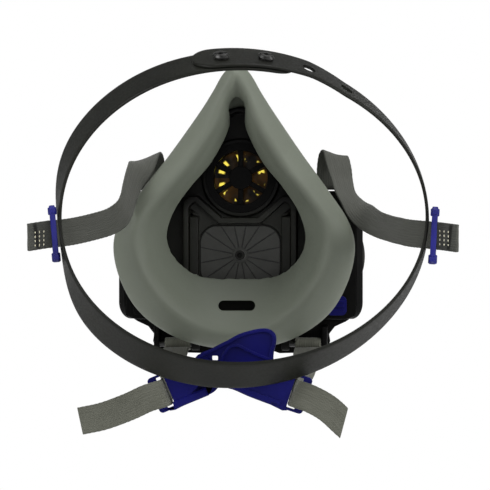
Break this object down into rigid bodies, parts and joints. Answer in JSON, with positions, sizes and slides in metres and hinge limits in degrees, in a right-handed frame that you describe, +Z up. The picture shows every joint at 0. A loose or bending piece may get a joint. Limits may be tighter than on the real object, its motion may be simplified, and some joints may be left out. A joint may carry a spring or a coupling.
{
  "type": "half-mask respirator",
  "caption": "Reusable elastomeric half-mask respirator with speaking diaphragm, ribbed flap valve, cartridge docks, head cradle band and clasped neck strap.",
  "frame": {"origin": "middle of the line across the face seal's crest at the cheeks, in the plane where the seal meets the face", "axes": "+X to the wearer's right, +Y forward from the face, +Z up towards the nose"},
  "size_m": [0.1898, 0.148, 0.1668],
  "materials": {
    "seal_silicone": "satin moulded silicone",
    "black_plastic": "fine moulded texture",
    "dark_plastic": "fine moulded texture",
    "pin_plastic": "satin",
    "cradle_plastic": "satin moulded soft plastic",
    "blue_plastic": "satin moulded",
    "navy_plastic": "satin moulded",
    "amber_film": "thin translucent film",
    "dark_rubber": "soft",
    "valve_rubber": "soft, finely ribbed",
    "upper_webbing": "ribbed elastic webbing",
    "neck_webbing": "ribbed elastic webbing",
    "spring_steel": "bright wire",
    "screw_steel": "dark plated"
  },
  "bodies": {
    "facepiece": {"face_seal": "seal_silicone", "mask_body": "black_plastic", "manifold_housing": "black_plastic", "front_cover": "dark_plastic", "diaphragm_cage": "black_plastic", "diaphragm_film": "amber_film", "diaphragm_gasket": "dark_rubber", "inhalation_seat": "dark_plastic", "exhalation_seat": "dark_plastic", "exhalation_cover": "dark_plastic", "cartridge_dock_left": "black_plastic", "cartridge_dock_right": "black_plastic", "port_gasket_left": "dark_rubber", "port_gasket_right": "dark_rubber", "latch_spring_left": "spring_steel", "latch_spring_right": "spring_steel", "button_spring": "spring_steel", "strap_yoke": "black_plastic", "lug_pins": "pin_plastic", "strap_guides": "black_plastic", "strap_pins": "pin_plastic", "housing_screws": "screw_steel"},
    "inhalation_valve": {"inhalation_flap": "valve_rubber"},
    "exhalation_valve": {"exhalation_flap": "valve_rubber"},
    "latch_left": {"dock_latch_left": "blue_plastic"},
    "latch_right": {"dock_latch_right": "blue_plastic"},
    "check_button": {"seal_check_button": "blue_plastic", "shutter_pad": "dark_rubber"},
    "cradle": {"cradle_band": "cradle_plastic", "cradle_studs": "pin_plastic", "upper_strap_left": "upper_webbing", "upper_strap_right": "upper_webbing"},
    "adjuster_left": {"strap_adjuster_left": "blue_plastic"},
    "adjuster_right": {"strap_adjuster_right": "blue_plastic"},
    "neck_loop": {"neck_strap_left": "neck_webbing", "neck_strap_right": "neck_webbing", "neck_buckle_left": "navy_plastic"},
    "clasp_half": {"neck_buckle_right": "navy_plastic"}
  },
  "joints": [
    {"name": "inhalation_flap_lift", "type": "slide", "parent": "facepiece", "child": "inhalation_valve", "axis": [0, -1, 0], "range_m": [0, 0.001], "stiffness_N_per_m": 20, "springref_m": -0.001},
    {"name": "exhalation_flap_lift", "type": "slide", "parent": "facepiece", "child": "exhalation_valve", "axis": [0, 0.866, -0.5], "range_m": [0, 0.001], "stiffness_N_per_m": 20, "springref_m": -0.001},
    {"name": "latch_left_press", "type": "slide", "parent": "facepiece", "child": "latch_left", "axis": [0, 1, 0], "range_m": [0, 0.002], "stiffness_N_per_m": 600, "springref_m": -0.0015, "deforming": ["latch_spring_left"]},
    {"name": "latch_right_press", "type": "slide", "parent": "facepiece", "child": "latch_right", "axis": [0, 1, 0], "range_m": [0, 0.002], "stiffness_N_per_m": 600, "springref_m": -0.0015, "deforming": ["latch_spring_right"]},
    {"name": "check_button_press", "type": "slide", "parent": "facepiece", "child": "check_button", "axis": [0, -1, 0], "range_m": [0, 0.0022], "stiffness_N_per_m": 500, "springref_m": -0.0015, "deforming": ["button_spring"]},
    {"name": "cradle_swing", "type": "hinge", "parent": "facepiece", "child": "cradle", "pos_m": [0, 0.0505, 0.0135], "axis": [-1, 0, 0], "range_deg": [0, 45]},
    {"name": "adjuster_left_tilt", "type": "hinge", "parent": "cradle", "child": "adjuster_left", "pos_m": [-0.0772, -0.03, -0.0104], "axis": [0, 0, 1], "range_deg": [-5, 5]},
    {"name": "adjuster_right_tilt", "type": "hinge", "parent": "cradle", "child": "adjuster_right", "pos_m": [0.0891, -0.031, -0.0112], "axis": [0, 0, 1], "range_deg": [-5, 5]},
    {"name": "neck_strap_swing", "type": "hinge", "parent": "facepiece", "child": "neck_loop", "pos_m": [0, 0.047, -0.0615], "axis": [1, 0, 0], "range_deg": [0, 35]},
    {"name": "clasp_open", "type": "hinge", "parent": "neck_loop", "child": "clasp_half", "pos_m": [0.0292, -0.042, -0.079], "axis": [0, 0, 1], "range_deg": [0, 8]}
  ]
}
